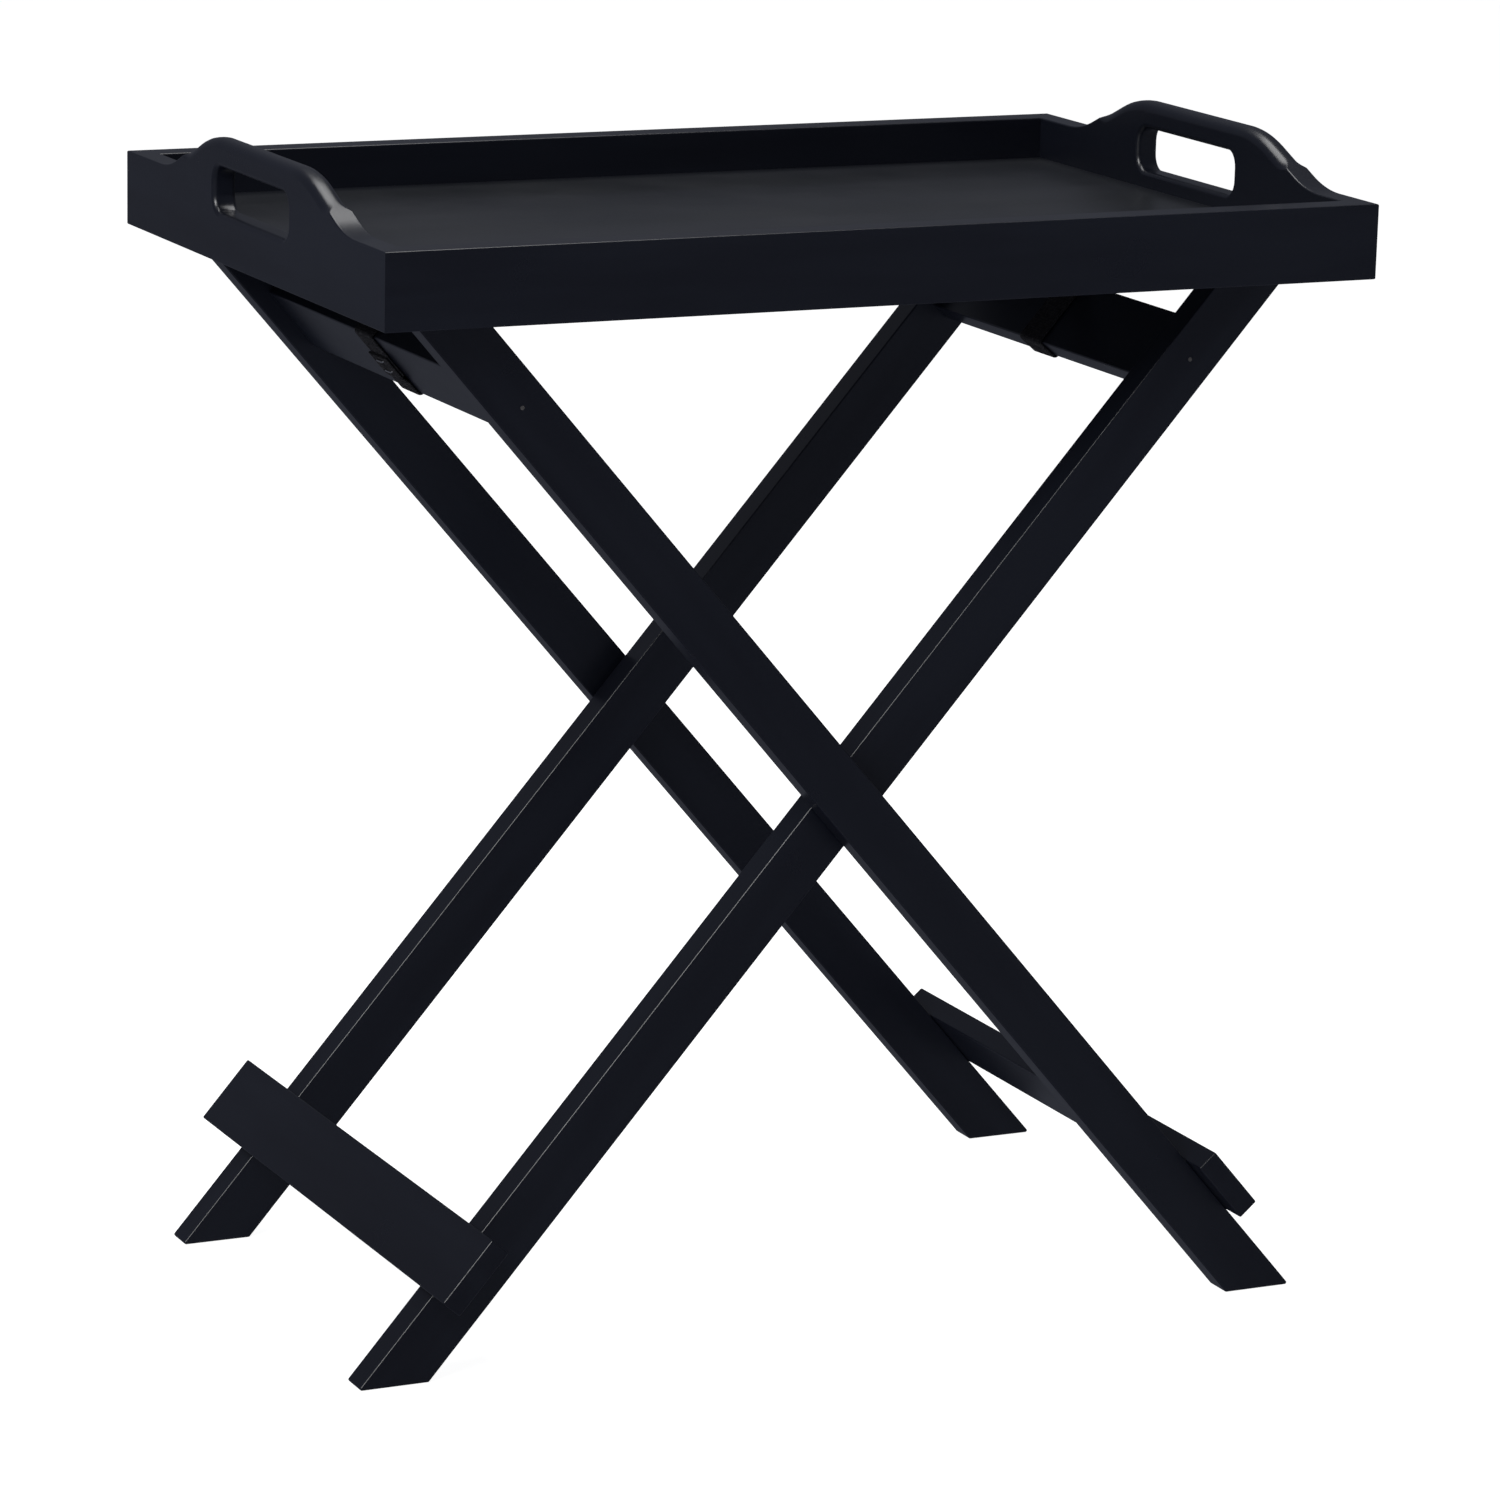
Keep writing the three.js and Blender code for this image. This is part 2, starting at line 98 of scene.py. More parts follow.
class Nodes:
    """Builds a node tree with short calls."""

    def __init__(self, tree):
        self.tree = tree

    def add(self, kind, **values):
        node = self.tree.nodes.new(kind)
        for key, value in values.items():
            if hasattr(node, key):
                setattr(node, key, value)
            else:
                node.inputs[key.replace("_", " ")].default_value = value
        return node

    def link(self, source, target):
        self.tree.links.new(source, target)

    def math(self, operation, a, b=0.0, clamp=False):
        node = self.add("ShaderNodeMath", operation=operation, use_clamp=clamp)
        for socket, value in zip(node.inputs, (a, b)):
            if hasattr(value, "is_output"):
                self.link(value, socket)
            else:
                socket.default_value = value
        return node.outputs[0]

    def ramp(self, source, low, high, smooth=True):
        """0 below low, 1 above high."""
        node = self.add("ShaderNodeMapRange", clamp=True)
        node.interpolation_type = "SMOOTHSTEP" if smooth else "LINEAR"
        node.inputs["From Min"].default_value = low
        node.inputs["From Max"].default_value = high
        self.link(source, node.inputs["Value"])
        return node.outputs["Result"]

    def mix(self, factor, a, b):
        node = self.add("ShaderNodeMix", data_type="RGBA")
        for socket, value in ((node.inputs[0], factor), (node.inputs[6], a), (node.inputs[7], b)):
            if hasattr(value, "is_output"):
                self.link(value, socket)
            elif hasattr(value, "__len__"):
                socket.default_value = (*value, 1.0)
            else:
                socket.default_value = value
        return node.outputs[2]

    def noise(self, vector, scale, detail=3.0, roughness=0.55, stretch=(1, 1, 1)):
        mapping = self.add("ShaderNodeMapping")
        mapping.inputs["Scale"].default_value = stretch
        self.link(vector, mapping.inputs["Vector"])
        node = self.add("ShaderNodeTexNoise", Scale=scale, Detail=detail, Roughness=roughness)
        self.link(mapping.outputs["Vector"], node.inputs["Vector"])
        return node.outputs["Fac"]


def new_material(name, roughness, metallic=0.0):
    material = bpy.data.materials.new(name)
    material.use_nodes = True
    tree = material.node_tree
    shader = tree.nodes["Principled BSDF"]
    shader.inputs["Roughness"].default_value = roughness
    shader.inputs["Metallic"].default_value = metallic
    nodes = Nodes(tree)
    coordinates = nodes.add("ShaderNodeTexCoord").outputs["Object"]
    return material, nodes, shader, coordinates


# ------------------------------------------------------------------ materials


def painted_wood(name, dark, light, grain, roughness):
    """Satin black paint. The grain runs along local X and shows through as fine relief."""
    material, n, shader, at = new_material(name, roughness)
    fibres = n.noise(at, 420, 4, 0.6, (0.05, 1, 1))
    figure = n.noise(at, 26, 3, 0.6, (0.12, 1, 1))
    stipple = n.noise(at, 1500, 2, 0.5)
    tone = n.ramp(figure, 0.3, 0.7)
    n.link(n.mix(tone, dark, light), shader.inputs["Base Color"])
    uneven = n.noise(at, 14, 3, 0.6)
    gloss = n.math("ADD", roughness - 0.07, n.math("MULTIPLY", uneven, 0.14))
    n.link(gloss, shader.inputs["Roughness"])
    height = n.math("ADD", n.math("MULTIPLY", fibres, 0.12), n.math("MULTIPLY", stipple, 0.5))
    bump = n.add("ShaderNodeBump", Strength=grain, Distance=0.00012)
    n.link(height, bump.inputs["Height"])
    n.link(bump.outputs["Normal"], shader.inputs["Normal"])
    return material


def raw_wood(name):
    material, n, shader, at = new_material(name, 0.6)
    rings = n.noise(at, 900, 3, 0.6, (1, 1, 0.06))
    n.link(n.mix(n.ramp(rings, 0.3, 0.7), (0.42, 0.26, 0.13), (0.62, 0.43, 0.24)),
           shader.inputs["Base Color"])
    bump = n.add("ShaderNodeBump", Strength=0.4, Distance=0.0001)
    n.link(rings, bump.inputs["Height"])
    n.link(bump.outputs["Normal"], shader.inputs["Normal"])
    return material


def wire_steel(name):
    material, n, shader, at = new_material(name, 0.25, 1.0)
    drawn = n.noise(at, 1800, 3, 0.6, (1, 1, 1))
    n.link(n.mix(n.ramp(drawn, 0.3, 0.8), (0.78, 0.78, 0.79), (0.55, 0.55, 0.57)),
           shader.inputs["Base Color"])
    n.link(n.math("ADD", 0.2, n.math("MULTIPLY", drawn, 0.15)), shader.inputs["Roughness"])
    return material


def black_nylon(name):
    material, n, shader, at = new_material(name, 0.5)
    grain = n.noise(at, 1200, 2, 0.5)
    n.link(n.mix(grain, (0.008, 0.008, 0.009), (0.016, 0.016, 0.018)),
           shader.inputs["Base Color"])
    bump = n.add("ShaderNodeBump", Strength=0.3, Distance=0.00005)
    n.link(grain, bump.inputs["Height"])
    n.link(bump.outputs["Normal"], shader.inputs["Normal"])
    return material


def filler(name):
    """The filler plugs took the paint thinly and show a little paler."""
    material, n, shader, at = new_material(name, 0.55)
    patch = n.noise(at, 1600, 3, 0.6)
    n.link(n.mix(patch, (0.01, 0.01, 0.012), (0.07, 0.065, 0.065)), shader.inputs["Base Color"])
    bump = n.add("ShaderNodeBump", Strength=0.5, Distance=0.0001)
    n.link(patch, bump.inputs["Height"])
    n.link(bump.outputs["Normal"], shader.inputs["Normal"])
    return material


def woven(name):
    """Polyester webbing in a plain weave: dull black yarn of randomly varying tone, with painted shade
    in the weave's troughs and a painted highlight on its crowns. The strap runs along local X, or
    along Z where it turns over an edge, and Y is across it."""
    material, n, shader, at = new_material(name, 0.85)
    axes = n.add("ShaderNodeSeparateXYZ")
    n.link(at, axes.inputs[0])
    along = n.math("MULTIPLY", n.math("ADD", axes.outputs[0], axes.outputs[2]), math.tau / 0.0018)
    across = n.math("MULTIPLY", axes.outputs[1], math.tau / (STRAP_RIB * MM))
    crowns = n.math("MULTIPLY", n.math("SINE", along), n.math("COSINE", across))
    fibres = n.noise(at, 2600, 3, 0.7)
    yarns = n.noise(at, 500, 2, 0.5)
    height = n.math("ADD", n.math("MULTIPLY", crowns, 0.5), fibres)
    # Painted shade and highlight: the colour follows the weave's relief, darker in the troughs and
    # paler on the crowns, times the yarns' random tone.
    weave_shade_and_tone = n.math("MULTIPLY", n.ramp(height, 0.2, 1.0), n.ramp(yarns, 0.25, 0.75))
    n.link(n.mix(weave_shade_and_tone, (0.002, 0.002, 0.003), (0.028, 0.028, 0.034)), shader.inputs["Base Color"])
    shader.inputs["Specular IOR Level"].default_value = 0.15
    bump = n.add("ShaderNodeBump", Strength=0.7, Distance=0.00025)
    n.link(height, bump.inputs["Height"])
    n.link(bump.outputs["Normal"], shader.inputs["Normal"])
    return material


PAINT = painted_wood("painted_wood", (0.0025, 0.003, 0.006), (0.004, 0.005, 0.009), 0.14, 0.3)
PANEL = painted_wood("painted_panel", (0.004, 0.005, 0.007), (0.006, 0.007, 0.010), 0.16, 0.35)
BEECH = raw_wood("beech")
STEEL = wire_steel("steel")
NYLON = black_nylon("nylon")
FILLER = filler("filler")
WEBBING = woven("webbing")

SLOT_MATERIALS = {"painted_wood": PAINT, "painted_panel": PANEL, "beech": BEECH,
                  "steel": STEEL, "nylon": NYLON, "webbing": WEBBING}

for part in frame["record"]["subparts"]:
    carried = frame["nodes"][part["node"]]
    carried.data.materials.clear()
    carried.data.materials.append(SLOT_MATERIALS[part["material_slot"]])

# ------------------------------------------------------------------ mesh helpers


def finish_piece(name, bm, material, body, node, place=Matrix(), along_y=False):
    """Turns a bmesh in millimetres into a piece that stands for a CAD node. place takes it
    from its own frame to the row frame, and along_y says that the board's grain runs along
    Y there: the object is turned so that its local X always follows the grain."""
    bmesh.ops.recalc_face_normals(bm, faces=bm.faces)
    for edge in bm.edges:
        if len(edge.link_faces) == 2 and edge.calc_face_angle() > SHARP:
            edge.smooth = False
    mesh = bpy.data.meshes.new(name)
    bm.to_mesh(mesh)
    bm.free()
    turn = Matrix.Rotation(math.pi / 2, 4, "Z") if along_y else Matrix()
    mesh.transform(turn.inverted() @ Matrix.Scale(MM, 4))
    mesh.shade_smooth()
    mesh.materials.append(material)
    piece = bpy.data.objects.new(name, mesh)
    bpy.context.scene.collection.objects.link(piece)
    move = place.copy()
    move.translation = move.translation * MM
    piece.matrix_world = move @ turn
    normals = piece.modifiers.new("flat_faces", "WEIGHTED_NORMAL")
    normals.weight = 100
    normals.keep_sharp = True
    if body:
        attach(piece, body)
    if node:
        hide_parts(*([node] if isinstance(node, str) else node))
    return piece


def eased_outline(corners, inset):
    """A convex outline with rounded corners, moved inwards. corners are (a, b, radius)."""
    area = sum(p[0] * q[1] - q[0] * p[1] for p, q in zip(corners, corners[1:] + corners[:1]))
    if area < 0:
        corners = corners[::-1]
    points = []
    for i, (a, b, radius) in enumerate(corners):
        corner, before, after = (Vector(corners[j % len(corners)][:2]) for j in (i, i - 1, i + 1))
        first, second = (corner - before).normalized(), (after - corner).normalized()
        n1, n2 = Vector((first.y, -first.x)), Vector((second.y, -second.x))
        centre = corner - radius * (n1 + n2) / (1 + n1.dot(n2))
        start = math.atan2(n1.y, n1.x)
        turn = math.acos(n1.dot(n2))
        steps = math.ceil(turn / math.radians(30))
        for k in range(steps + 1):
            angle = start + turn * k / steps
            points.append(centre + (radius - inset) * Vector((math.cos(angle), math.sin(angle))))
    return points


def board(corners, y0, y1):
    """A board on a convex outline in (x, z) with every edge eased."""
    bm = bmesh.new()
    levels = [(EASE * (1 - math.cos(math.pi / 2 * i / EASE_STEPS)),
               EASE * (1 - math.sin(math.pi / 2 * i / EASE_STEPS))) for i in range(EASE_STEPS + 1)]
    levels = [(y0 + d, inset) for d, inset in levels] + [
        (y1 - d, inset) for d, inset in reversed(levels)]
    rings = [[bm.verts.new((a, y, b)) for a, b in eased_outline(corners, inset)]
             for y, inset in levels]
    bm.faces.new(rings[0])
    bm.faces.new(rings[-1][::-1])
    for first, second in zip(rings, rings[1:]):
        for i in range(len(first)):
            j = (i + 1) % len(first)
            bm.faces.new((first[i], second[i], second[j], first[j]))
    return bm


def bar(x0, x1, y0, y1, z0, z1):
    return board([(x0, z0, CORNER_R), (x1, z0, CORNER_R), (x1, z1, CORNER_R), (x0, z1, CORNER_R)],
                 y0, y1)


# ------------------------------------------------------------------ the two leg frames


def along_leg(world_z, offset):
    return (PIVOT_Z - world_z + offset * COS) / SIN


def leg_outline(side):
    half = LEG_WIDTH / 2
    corners = [(along_leg(LEG_TOP_Z, -half), -half, CORNER_R), (along_leg(0, -half), -half, CORNER_R),
               (along_leg(0, half), half, FOOT_TIP_R), (along_leg(LEG_TOP_Z, half), half, CORNER_R)]
    return [(side * s, z, radius) for s, z, radius in corners]


def frame_matrix(side):
    return Matrix.Translation((0, 0, PIVOT_Z)) @ Matrix.Rotation(side * LEG_ANGLE, 4, "Y")


def staple(bm, x, y, face):
    """A round-wire staple: a crown along Y and two legs going into the wood, plus z."""
    wire = STAPLE_WIRE / 2
    half = STAPLE_CROWN / 2 - wire
    bend = STAPLE_BEND
    path = [(y - half, face + STAPLE_LEG), (y - half, face + bend)]
    for i in range(1, 5):
        a = math.pi / 2 * i / 5
        path.append((y - half + bend * (1 - math.cos(a)), face + bend * (1 - math.sin(a))))
    path.append((y - half + bend, face))
    path += [(2 * y - b, c) for b, c in reversed(path)]
    rings = []
    for i, (b, c) in enumerate(path):
        before, after = path[max(i - 1, 0)], path[min(i + 1, len(path) - 1)]
        tangent = Vector((0, after[0] - before[0], after[1] - before[1])).normalized()
        across = Vector((1, 0, 0))
        up = tangent.cross(across)
        angles = [math.tau * k / STAPLE_SIDES for k in range(STAPLE_SIDES)]
        rings.append([bm.verts.new(Vector((x, b, c)) + wire * (math.cos(a) * across + math.sin(a) * up))
                      for a in angles])
    for first, second in zip(rings, rings[1:]):
        for k in range(STAPLE_SIDES):
            j = (k + 1) % STAPLE_SIDES
            bm.faces.new((first[k], first[j], second[j], second[k]))
    bm.faces.new(rings[0][::-1])
    bm.faces.new(rings[-1])


def strap_section():
    """The webbing's cross-section as (across, off the middle), with its ribs."""
    half, steps = STRAP_WIDTH / 2, 74
    face = []
    for i in range(steps + 1):
        y = half * (1 - 2 * i / steps)
        rib = 0.92 + 0.08 * math.cos(math.tau * y / STRAP_RIB)
        edge = math.sqrt(max(0.04, 1 - abs(y / half) ** 30))
        face.append((y, STRAP_THICK / 2 * rib * edge))
    return face + [(y, -off) for y, off in reversed(face)]


def sweep_strap(path):
    """Webbing swept along a path of (x, z, middle y) points."""
    bm = bmesh.new()
    rings = []
    for i, (x, z, y) in enumerate(path):
        before, after = path[max(i - 1, 0)], path[min(i + 1, len(path) - 1)]
        run = Vector((after[0] - before[0], 0, after[1] - before[1])).normalized()
        out = Vector((-run.z, 0, run.x))
        rings.append([bm.verts.new(Vector((x, y + across, z)) + off * out)
                      for across, off in strap_section()])
    count = len(rings[0])
    for first, second in zip(rings, rings[1:]):
        for i in range(count):
            j = (i + 1) % count
            bm.faces.new((first[i], first[j], second[j], second[i]))
    bm.faces.new(rings[0])
    bm.faces.new(rings[-1][::-1])
    return bm


def spread(points, step=1.5):
    """More points along straight stretches of a path."""
    path = [points[0]]
    for a, b in zip(points, points[1:]):
        count = max(1, round(math.dist(a, b) / step))
        path += [tuple(p + (q - p) * i / count for p, q in zip(a, b)) for i in range(1, count + 1)]
    return path


def loop_path(side):
    """Once round the top stretcher, and the end lapped over the start on the outer face."""
    clear = STRAP_CLEAR + STRAP_THICK / 2
    u, w = STRETCHER_WIDTH / 2 - EASE, STRETCHER_THICK / 2 - EASE
    radius = EASE + clear
    lapped = -(w + radius + STRAP_THICK + LAP_GAP)
    points = [(STRAP_LAP, -(w + radius))]
    for corner_u, corner_w, start in ((-u, -w, 270), (-u, w, 180), (u, w, 90), (u, -w, 0)):
        for i in range(7):
            a = math.radians(start - 15 * i)
            points.append((corner_u + radius * math.cos(a), corner_w + radius * math.sin(a)))
    points += [(STRAP_LAP + 5, -(w + radius) - LAP_EASE), (STRAP_LAP + 1, lapped + LAP_EASE),
               (STRAP_LAP - 2, lapped), (-STRAP_LAP, lapped)]
    return [(side * (TOP_STRETCHER_S + a), c, STRAP_Y) for a, c in spread(points)]


def make_frame(prefix, side, leg_y):
    body = f"{prefix}_frame"
    place = frame_matrix(side)
    for end, leg_side in (("front", -1), ("back", 1)):
        middle = leg_side * leg_y
        leg = board(leg_outline(side), middle - LEG_THICK / 2, middle + LEG_THICK / 2)
        node = f"{prefix}_leg_{end}"
        finish_piece(f"{node}_board", leg, PAINT, body, node, place)

        plug = bmesh.new()
        bmesh.ops.create_uvsphere(plug, u_segments=24, v_segments=12, radius=PLUG_R)
        bmesh.ops.scale(plug, vec=(1, 0.09, 1), verts=plug.verts)
        bmesh.ops.translate(plug, verts=plug.verts,
                            vec=(side * TOP_STRETCHER_S, leg_side * (leg_y + LEG_THICK / 2), 0))
        node = f"{prefix}_screw_plug_{end}"
        finish_piece(f"{node}_cap", plug, FILLER, body, node, place)

    x = side * TOP_STRETCHER_S
    half = leg_y - LEG_THICK / 2
    top = bar(x - STRETCHER_WIDTH / 2, x + STRETCHER_WIDTH / 2, -half, half,
              -STRETCHER_THICK / 2, STRETCHER_THICK / 2)
    node = f"{prefix}_top_stretcher"
    finish_piece(f"{node}_board", top, PAINT, body, node, place, along_y=True)

    node = f"{prefix}_strap_loop"
    finish_piece(f"{node}_band", sweep_strap(loop_path(side)), WEBBING, body, node, place)
    for number, step in ((1, -0.5), (2, 0.5)):
        wire = bmesh.new()
        staple(wire, side * (TOP_STRETCHER_S + STAPLE_SPACING * step), STRAP_Y, STAPLE_FACE)
        node = f"{prefix}_strap_staple_{number}"
        finish_piece(f"{node}_wire", wire, STEEL, body, node, place)

    x = side * LOWER_STRETCHER_S
    half = LOWER_STRETCHER_LENGTH / 2
    lower = bar(x - STRETCHER_WIDTH / 2, x + STRETCHER_WIDTH / 2, -half, half,
                LEG_WIDTH / 2, LEG_WIDTH / 2 + GAP + STRETCHER_THICK)
    node = f"{prefix}_lower_stretcher"
    finish_piece(f"{node}_board", lower, PAINT, body, node, place, along_y=True)


make_frame("outer", 1, OUTER_LEG_Y)
make_frame("inner", -1, INNER_LEG_Y)


# The run's stretch ends as (x, share), with share for how far a point there turns from the outer
# frame (0) to the inner one (1); only the end shares, 0 and 1, are read.
STRAP_TURN = [(-216, 0), (-180, 0.1502), (-90, 0.345), (90, 0.655), (180, 0.8498), (216, 1)]


def make_strap_run():
    """The run between the loops, taut as it is when the frames are open, made as stretches that
    meet end to end; the first and last reach to the stretchers' corners."""
    s = -TOP_STRETCHER_S + STRETCHER_WIDTH / 2
    corner_x = s * COS - STRETCHER_THICK / 2 * SIN
    middle = PIVOT_Z + s * SIN + STRETCHER_THICK / 2 * COS + STRAP_CLEAR
    reach = corner_x - RUN_GAP
    for number, ((x0, share0), (x1, share1)) in enumerate(zip(STRAP_TURN, STRAP_TURN[1:]), 1):
        low = -reach if share0 == 0 else x0
        high = reach if share1 == 1 else x1
        path = spread([(low, middle, STRAP_Y), (high, middle, STRAP_Y)], 3)
        nodes = ["strap_run"] if number == 3 else []
        stretch = finish_piece(f"strap_run_{number}", sweep_strap(path), WEBBING, None, nodes)
        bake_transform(stretch)


make_strap_run()

# ------------------------------------------------------------------ the tray


def mitre_x(y):
    """How far along X the mitre is at a distance y from the middle."""
    return TRAY_LENGTH / 2 - (TRAY_WIDTH / 2 - abs(y)) * END_THICK / RAIL_THICK


def mitre_y(x):
    return TRAY_WIDTH / 2 - (TRAY_LENGTH / 2 - abs(x)) * RAIL_THICK / END_THICK


def quarter(centre, radius, start, steps=EASE_STEPS):
    """Points on a quarter circle, from the start angle on, anticlockwise."""
    return [(centre[0] + radius * math.cos(start + math.pi / 2 * i / steps),
             centre[1] + radius * math.sin(start + math.pi / 2 * i / steps))
            for i in range(steps + 1)]


def rail_profile():
    """The back rail's cross-section in (y, z), anticlockwise, with its groove."""
    outer, inner = TRAY_WIDTH / 2, TRAY_WIDTH / 2 - RAIL_THICK
    groove = inner + GROOVE_DEPTH
    low = FLOOR_TOP_Z - FLOOR_THICK - GAP
    high = FLOOR_TOP_Z - TONGUE_DROP + GAP
    return [
        *quarter((outer - EASE, RAIL_BOTTOM_Z + EASE), EASE, -math.pi / 2),
        *quarter((outer - EASE, RAIL_TOP_Z - EASE), EASE, 0),
        *quarter((inner + EASE, RAIL_TOP_Z - EASE), EASE, math.pi / 2),
        (inner, high), (groove, high), (groove, low), (inner, low),
        *quarter((inner + EASE, RAIL_BOTTOM_Z + EASE), EASE, math.pi),
    ]


def make_rail(node, side):
    bm = bmesh.new()
    rings = []
    for end in (-1, 1):
        rings.append([bm.verts.new((end * mitre_x(y), side * y, z)) for y, z in rail_profile()])
    count = len(rings[0])
    for i in range(count):
        j = (i + 1) % count
        bm.faces.new((rings[0][i], rings[0][j], rings[1][j], rings[1][i]))
    bm.faces.new(rings[0])
    bm.faces.new(rings[1][::-1])
    finish_piece(f"{node}_board", bm, PAINT, "tray", node)


def hump_half(steps=14):
    """Half of the hump's outline from the crest outwards, as (distance, height)."""
    points = [(CREST_HALF + SHOULDER_R * math.sin(HUMP_SLOPE * i / steps),
               CREST_Z - SHOULDER_R * (1 - math.cos(HUMP_SLOPE * i / steps)))
              for i in range(steps + 1)]
    start = points[-1]
    arcs = (SHOULDER_R + FOOT_R) * (1 - math.cos(HUMP_SLOPE))
    run = (CREST_Z - RAIL_TOP_Z - arcs) / math.tan(HUMP_SLOPE)
    for i in range(1, 16):
        t = i / 16
        points.append((start[0] + run * t, start[1] - run * t * math.tan(HUMP_SLOPE)))
    base = CREST_HALF + (SHOULDER_R + FOOT_R) * math.sin(HUMP_SLOPE) + run
    for i in range(steps + 1):
        a = HUMP_SLOPE * (1 - i / steps)
        points.append((base - FOOT_R * math.sin(a), RAIL_TOP_Z + FOOT_R * (1 - math.cos(a))))
    return points


def round_at(d):
    """The edge radius at a distance from the hump's middle: the router's round-over runs
    out along its own circle, down to the small easing of the rest of the board."""
    cutter = HUMP_ROUND + BEARING_R
    past = d - (ROUND_STOP - ROUND_OUT)
    if past <= 0:
        return HUMP_ROUND
    if past >= cutter:
        return EASE
    return max(EASE, math.sqrt(cutter ** 2 - past ** 2) - BEARING_R)


def top_line():
    """Stations along the end board's top, front to back: (y, z, edge radius)."""
    half = hump_half()
    crest = [(d, CREST_Z) for d in range(-50, 51, 10)]
    line = [(-d, z) for d, z in reversed(half)] + crest + half
    return [(HUMP_Y + d, z, round_at(abs(d))) for d, z in line]


def across(radius, thick=END_THICK, steps=6):
    """Points across a rounded edge, outer face to inner face: (x in, depth below)."""
    outer = [(radius * (1 - math.cos(math.pi / 2 * i / steps)),
              radius * (1 - math.sin(math.pi / 2 * i / steps))) for i in range(steps + 1)]
    return outer + [(thick - x, depth) for x, depth in reversed(outer)]


def make_end(node, side):
    """One end board, built in its own frame: x runs in from the outer face."""
    bm = bmesh.new()
    line = top_line()
    edge = TRAY_WIDTH / 2
    outer_x = TRAY_LENGTH / 2

    def vertex(depth_x, y, z):
        return bm.verts.new((side * (outer_x - depth_x), y, z))

    def ends(radius, z, sign):
        """The row of points where the top or bottom edge meets a mitre."""
        return [(x, sign * mitre_y(outer_x - x), z, depth) for x, depth in across(radius)]

    rows = [[vertex(x, y, z - depth) for x, y, z, depth in ends(EASE, RAIL_TOP_Z, -1)]]
    for i, (y, z, radius) in enumerate(line):
        before, after = line[max(i - 1, 0)], line[min(i + 1, len(line) - 1)]
        normal = Vector((-(after[1] - before[1]), after[0] - before[0])).normalized()
        rows.append([vertex(x, y - depth * normal[0], z - depth * normal[1])
                     for x, depth in across(radius)])
    rows.append([vertex(x, y, z - depth) for x, y, z, depth in ends(EASE, RAIL_TOP_Z, 1)])
    base = [[vertex(x, y, z + depth) for x, y, z, depth in ends(EASE, RAIL_BOTTOM_Z, sign)]
            for sign in (-1, 1)]

    for strip in (rows, base):
        for first, second in zip(strip, strip[1:]):
            for a, b, c, d in zip(first, first[1:], second[1:], second):
                bm.faces.new((a, b, c, d))
    for row, foot in ((rows[0], base[0]), (rows[-1], base[1])):
        bm.faces.new(row + foot[::-1])

    slot = []
    half_y, half_z = SLOT_LENGTH / 2 - SLOT_CORNER_R, SLOT_HEIGHT / 2 - SLOT_CORNER_R
    for k, (cy, cz) in enumerate(((half_y, half_z), (-half_y, half_z),
                                  (-half_y, -half_z), (half_y, -half_z))):
        for i in range(9):
            a = math.pi / 2 * (k + i / 8)
            slot.append((cy, cz, math.cos(a), math.sin(a)))
    loops = []
    for x, depth in across(SLOT_ROUND):
        reach = SLOT_CORNER_R + depth
        loops.append([vertex(x, cy + reach * c, SLOT_Z + cz + reach * s) for cy, cz, c, s in slot])
    for first, second in zip(loops, loops[1:]):
        for i in range(len(slot)):
            j = (i + 1) % len(slot)
            bm.faces.new((first[i], first[j], second[j], second[i]))

    # Each side is two faces, which meet along lines from the slot's ends to the lower corners.
    middle = len(slot) // 2
    for k, loop in ((0, loops[0]), (-1, loops[-1])):
        front, back = base[0][k], base[1][k]
        bm.faces.new([front, back, *loop[:middle - 1:-1]])
        bm.faces.new([row[k] for row in rows] + [back, loop[-1], *loop[:middle + 1], front])
    finish_piece(f"{node}_board", bm, PAINT, "tray", node, along_y=True)


def make_floor():
    """The floor panel with its tongue let into the four grooves."""
    x = TRAY_LENGTH / 2 - END_THICK
    y = TRAY_WIDTH / 2 - RAIL_THICK
    reach = GROOVE_DEPTH - GAP
    bottom = FLOOR_TOP_Z - FLOOR_THICK
    tongue = FLOOR_TOP_Z - TONGUE_DROP
    bm = bmesh.new()
    levels = [(x + reach, y + reach, bottom), (x + reach, y + reach, tongue), (x, y, tongue),
              (x, y, FLOOR_TOP_Z)]
    rings = [[bm.verts.new((sx * a, sy * b, z)) for sx, sy in ((-1, -1), (1, -1), (1, 1), (-1, 1))]
             for a, b, z in levels]
    bm.faces.new(rings[0][::-1])
    bm.faces.new(rings[-1])
    for first, second in zip(rings, rings[1:]):
        for i in range(4):
            j = (i + 1) % 4
            bm.faces.new((first[i], first[j], second[j], second[i]))
    panel = finish_piece("tray_floor_panel", bm, PANEL, "tray", "tray_floor")
    panel.data.shade_flat()


make_rail("tray_back_rail", 1)
make_rail("tray_front_rail", -1)
make_end("tray_right_end", 1)
make_end("tray_left_end", -1)
make_floor()

# ------------------------------------------------------------------ camera

CAMERA_AT = (-1.496, -3.127, 1.137)
CAMERA_TURN, CAMERA_DOWN, CAMERA_ROLL = -25.34, 14.55, 1.32
LENS, SHIFT_X, SHIFT_Y = 147.06, 0.0304, 0.0780

camera_data = bpy.data.cameras.new("camera")
camera_data.lens, camera_data.sensor_width = LENS, 36
camera_data.shift_x, camera_data.shift_y = SHIFT_X, SHIFT_Y
camera = bpy.data.objects.new("camera", camera_data)
bpy.context.scene.collection.objects.link(camera)
camera.matrix_world = (
    Matrix.Translation(CAMERA_AT)
    @ Matrix.Rotation(math.radians(CAMERA_TURN), 4, "Z")
    @ Matrix.Rotation(math.radians(90 - CAMERA_DOWN), 4, "X")
    @ Matrix.Rotation(math.radians(CAMERA_ROLL), 4, "Z"))
bpy.context.scene.camera = camera

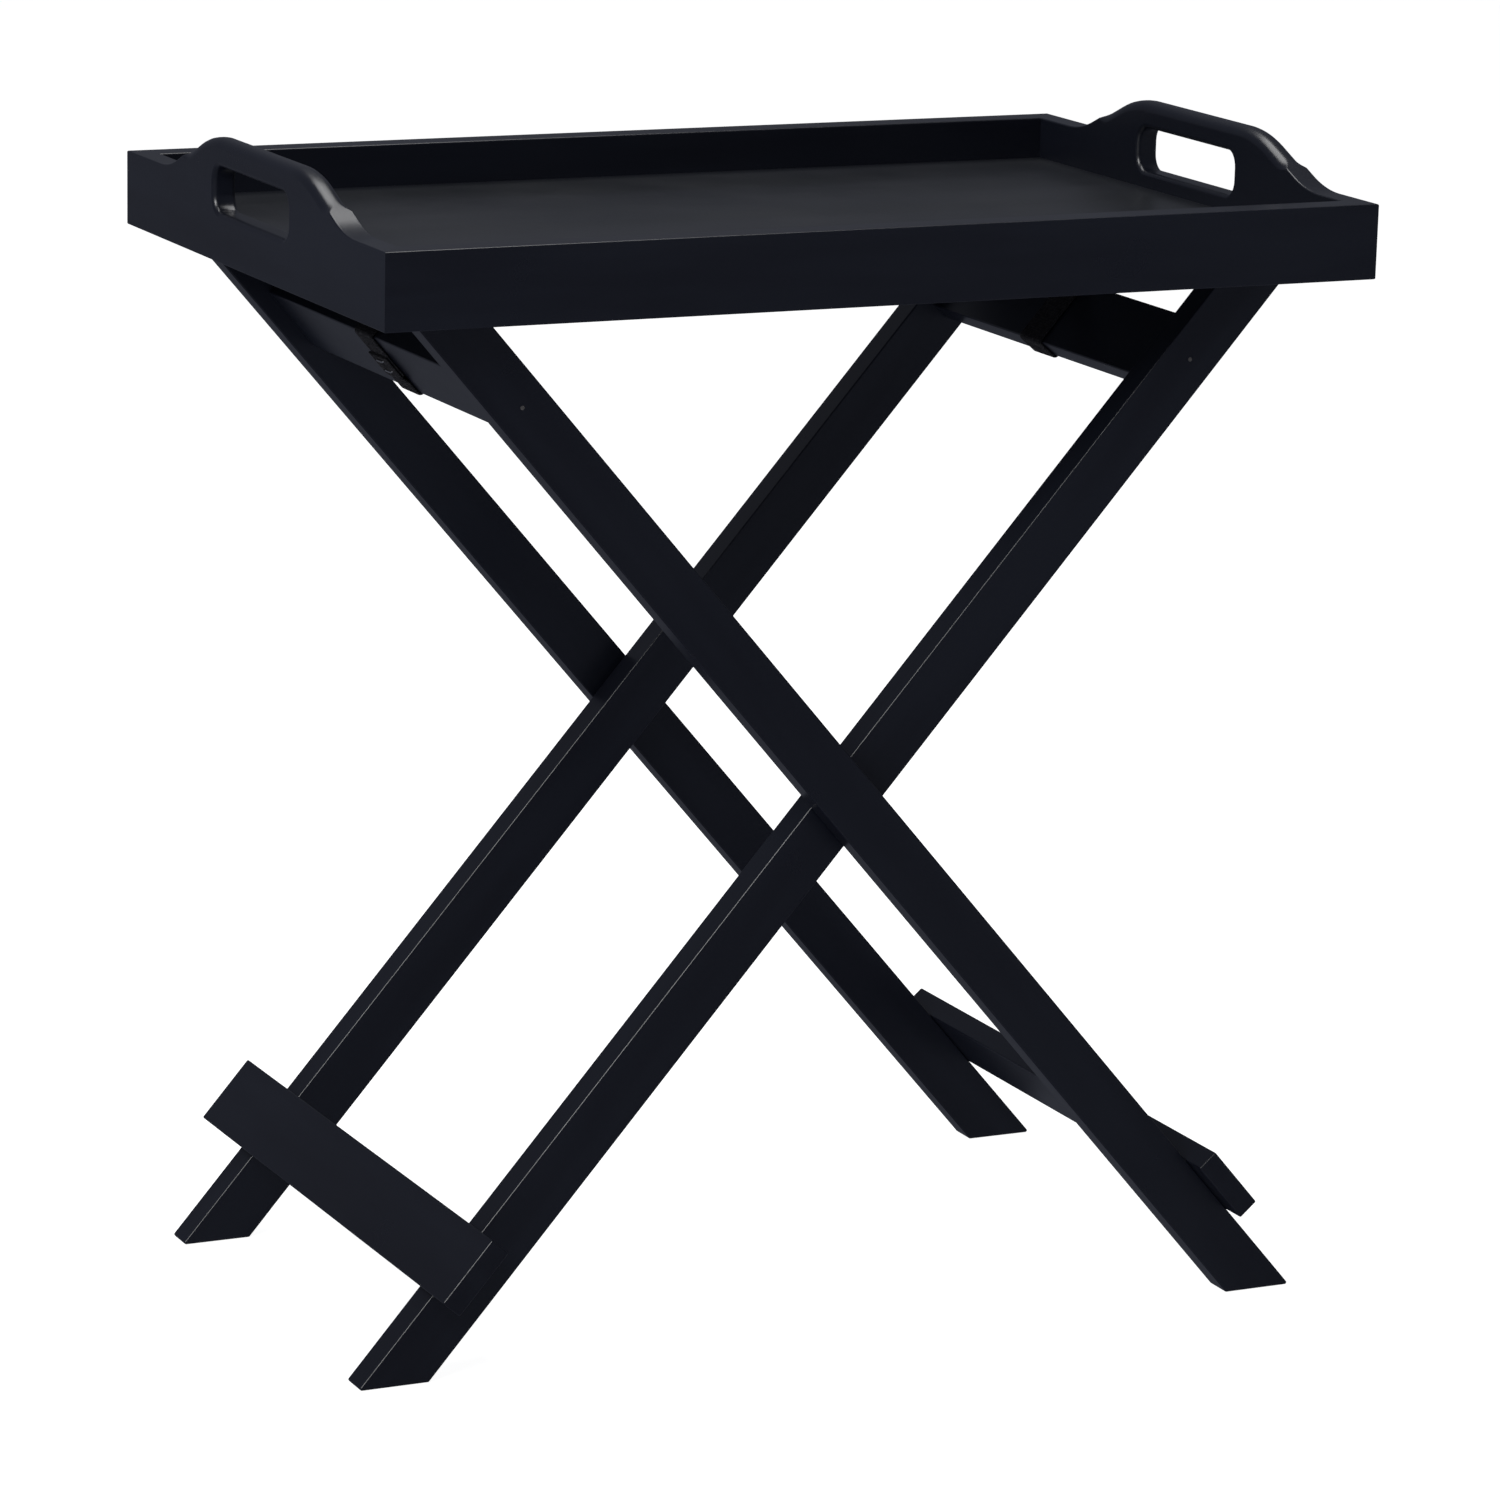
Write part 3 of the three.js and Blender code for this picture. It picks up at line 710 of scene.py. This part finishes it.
# ------------------------------------------------------------------ floor, room and lights

ROOM_GREY = (0.085, 0.090, 0.110)      # the even, slightly cool room around the softboxes
FLOOR_REACH, FLOOR_LEVEL = 60.0, -0.0005      # metres
TABLE_MIDDLE = (0.0, 0.0, 0.3)
# name: place in metres, width, height, watts
SOFTBOXES = {
    "overhead_softbox": ((0.0, 0.5, 3.0), 2.0, 2.0, 60),
    "left_softbox": ((-2.5, -1.5, 2.5), 2.0, 1.5, 100),
}


def make_floor_plane():
    """A seamless pale floor that glows and is left out of the reflections."""
    mesh = bpy.data.meshes.new("studio_floor")
    mesh.from_pydata([(x * FLOOR_REACH, y * FLOOR_REACH, FLOOR_LEVEL)
                      for x, y in ((-1, -1), (1, -1), (1, 1), (-1, 1))], [], [(0, 1, 2, 3)])
    floor = bpy.data.objects.new("studio_floor", mesh)
    bpy.context.scene.collection.objects.link(floor)
    material = bpy.data.materials.new("studio_floor")
    material.use_nodes = True
    shader = material.node_tree.nodes["Principled BSDF"]
    shader.inputs["Base Color"].default_value = (0.35, 0.35, 0.35, 1)
    shader.inputs["Roughness"].default_value = 0.9
    shader.inputs["Specular IOR Level"].default_value = 0.0
    shader.inputs["Emission Color"].default_value = (1, 1, 1, 1)
    shader.inputs["Emission Strength"].default_value = 0.96
    mesh.materials.append(material)
    floor.visible_glossy = False


def make_room():
    """An even grey room."""
    world = bpy.data.worlds.new("studio")
    bpy.context.scene.world = world
    world.use_nodes = True
    background = world.node_tree.nodes["Background"]
    background.inputs["Color"].default_value = (*ROOM_GREY, 1)


def softbox(name, at, width, height, power):
    data = bpy.data.lights.new(name, "AREA")
    data.shape, data.size, data.size_y = "RECTANGLE", width, height
    data.energy = power
    light = bpy.data.objects.new(name, data)
    bpy.context.scene.collection.objects.link(light)
    light.location = at
    light.rotation_mode = "QUATERNION"
    light.rotation_quaternion = (Vector(TABLE_MIDDLE) - Vector(at)).to_track_quat("-Z", "Y")


make_floor_plane()
make_room()
for softbox_name, settings in SOFTBOXES.items():
    softbox(softbox_name, *settings)

bpy.context.scene.view_settings.view_transform = "Standard"
